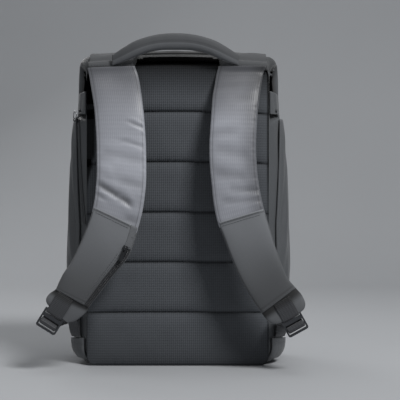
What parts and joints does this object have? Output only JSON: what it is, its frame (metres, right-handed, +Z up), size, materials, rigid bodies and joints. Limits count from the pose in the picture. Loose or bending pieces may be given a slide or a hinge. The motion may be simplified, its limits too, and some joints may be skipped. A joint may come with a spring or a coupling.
{
  "type": "anti theft backpack",
  "caption": "Upright backpack with a quilted back panel, hidden rear opening, padded shoulder straps with a zip pocket and a card pocket, carry handle and side pockets.",
  "frame": {"origin": "on the floor, under the middle of the whole piece", "axes": "+Z up, -Y towards the wearer's back, +X towards the strap with the card pocket"},
  "size_m": [0.3644, 0.2078, 0.4608],
  "materials": {
    "side_cloth": "dark grey nylon with a slight sheen",
    "panel_cloth": "dark grey ribbed mesh, matte",
    "matte_cloth": "mid grey woven cloth, matte",
    "strap_cloth": "light blue-grey cloth with a soft sheen",
    "webbing": "near black ribbed webbing",
    "plastic": "black moulded acetal",
    "zip": "black zip tape and coil",
    "dark_metal": "black enamelled metal",
    "bright_metal": "gunmetal plated ring"
  },
  "bodies": {
    "bag": {"body_band": "side_cloth", "front_panel": "side_cloth", "front_piping": "side_cloth", "back_panel": "panel_cloth", "top_yoke": "matte_cloth", "carry_handle": "matte_cloth", "left_strap_pad": "strap_cloth", "right_strap_pad": "strap_cloth", "left_zip_pocket": "matte_cloth", "right_card_pocket": "matte_cloth", "strap_loop_tab": "matte_cloth", "strap_zip_tape": "zip", "strap_zip_slider": "dark_metal", "left_upper_webbing": "webbing", "right_upper_webbing": "webbing", "left_buckle": "plastic", "right_buckle": "plastic", "left_lower_webbing": "webbing", "right_lower_webbing": "webbing", "left_anchor_tab": "side_cloth", "right_anchor_tab": "side_cloth", "left_side_pocket": "side_cloth", "right_side_pocket": "side_cloth", "left_side_fold": "side_cloth", "right_side_fold": "side_cloth", "left_rivet": "dark_metal", "right_rivet": "dark_metal", "side_zip_tape": "zip", "side_zip_slider": "dark_metal"},
    "zip_pull": {"strap_zip_pull": "dark_metal"},
    "side_ring": {"ring_pull": "bright_metal"}
  },
  "joints": [
    {"name": "zip_pull_hinge", "type": "hinge", "parent": "bag", "child": "zip_pull", "pos_m": [-0.06336, -0.10138, 0.1667], "axis": [-0.9295, 0, 0.3689], "range_deg": [0, 150]},
    {"name": "side_ring_hinge", "type": "hinge", "parent": "bag", "child": "side_ring", "pos_m": [-0.14054, -0.0156, 0.3444], "axis": [0.4334, -0.9012, 0], "range_deg": [0, 170]}
  ]
}
